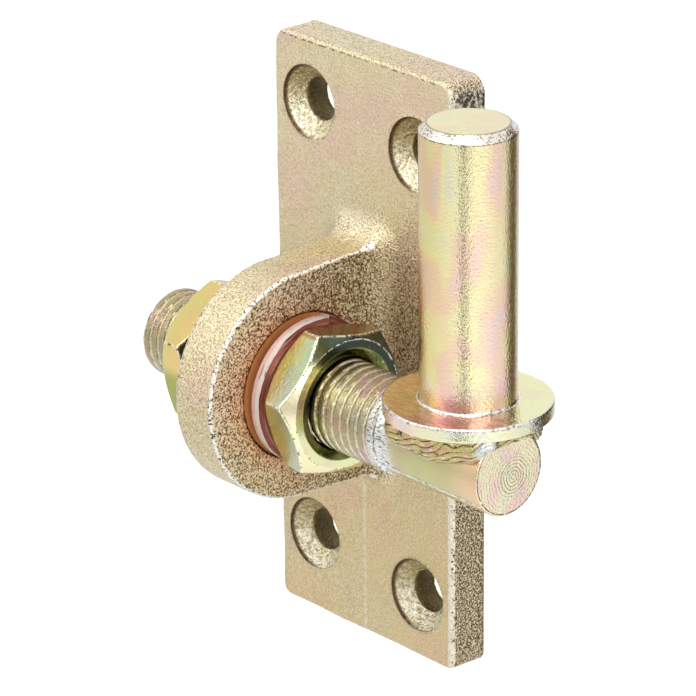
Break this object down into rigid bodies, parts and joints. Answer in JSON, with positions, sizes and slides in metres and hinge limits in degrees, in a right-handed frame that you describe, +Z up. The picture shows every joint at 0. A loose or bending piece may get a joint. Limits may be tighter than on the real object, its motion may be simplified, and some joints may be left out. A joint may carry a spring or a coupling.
{
  "type": "pivot hinge",
  "caption": "Adjustable gate pintle: collared pivot pin welded to a threaded stud, clamped by thin nuts and spring washers in the eye of a forged screw-on wall plate.",
  "frame": {"origin": "centre of the plate's back face, which lies on the post", "axes": "+Y into the post, +Z up along the pivot pin, +X along the stud from the eye towards the pin"},
  "size_m": [0.113, 0.057, 0.1385],
  "materials": {
    "forged_plate": "forged and blasted, zinc plated with yellow passivation, fine grain, semi-matt",
    "turned_steel": "turned bright bar, zinc plated with yellow iridescent passivation, satin to glossy",
    "nuts": "zinc plated with yellow-green passivation, glossy",
    "spring_washers": "zinc plated with rose passivation, glossy",
    "weld": "rippled weld metal, zinc plated"
  },
  "bodies": {
    "wall_plate": {"bracket": "forged_plate", "front_spring_washer": "spring_washers", "rear_spring_washer": "spring_washers"},
    "front_nut": {"front_nut": "nuts"},
    "rear_nut": {"rear_nut": "nuts"},
    "pintle": {"threaded_stud": "turned_steel", "pivot_pin": "turned_steel", "weld_bead": "weld"}
  },
  "joints": [
    {"name": "stud_slide", "type": "slide", "parent": "wall_plate", "child": "pintle", "axis": [1, 0, 0], "range_m": [-0.0125, 0.0125]},
    {"name": "front_nut_turn", "type": "hinge", "parent": "wall_plate", "child": "front_nut", "pos_m": [0.0166, -0.0315, 0], "axis": [1, 0, 0], "range_deg": [-1800, 1800]},
    {"name": "rear_nut_turn", "type": "hinge", "parent": "wall_plate", "child": "rear_nut", "pos_m": [-0.0187, -0.0315, 0], "axis": [1, 0, 0], "range_deg": [-1800, 1800]}
  ],
  "couplings": [
    {"joint": "front_nut_turn", "follows": "stud_slide", "rad_per_m": -2513.3},
    {"joint": "rear_nut_turn", "follows": "stud_slide", "rad_per_m": -2513.3}
  ]
}
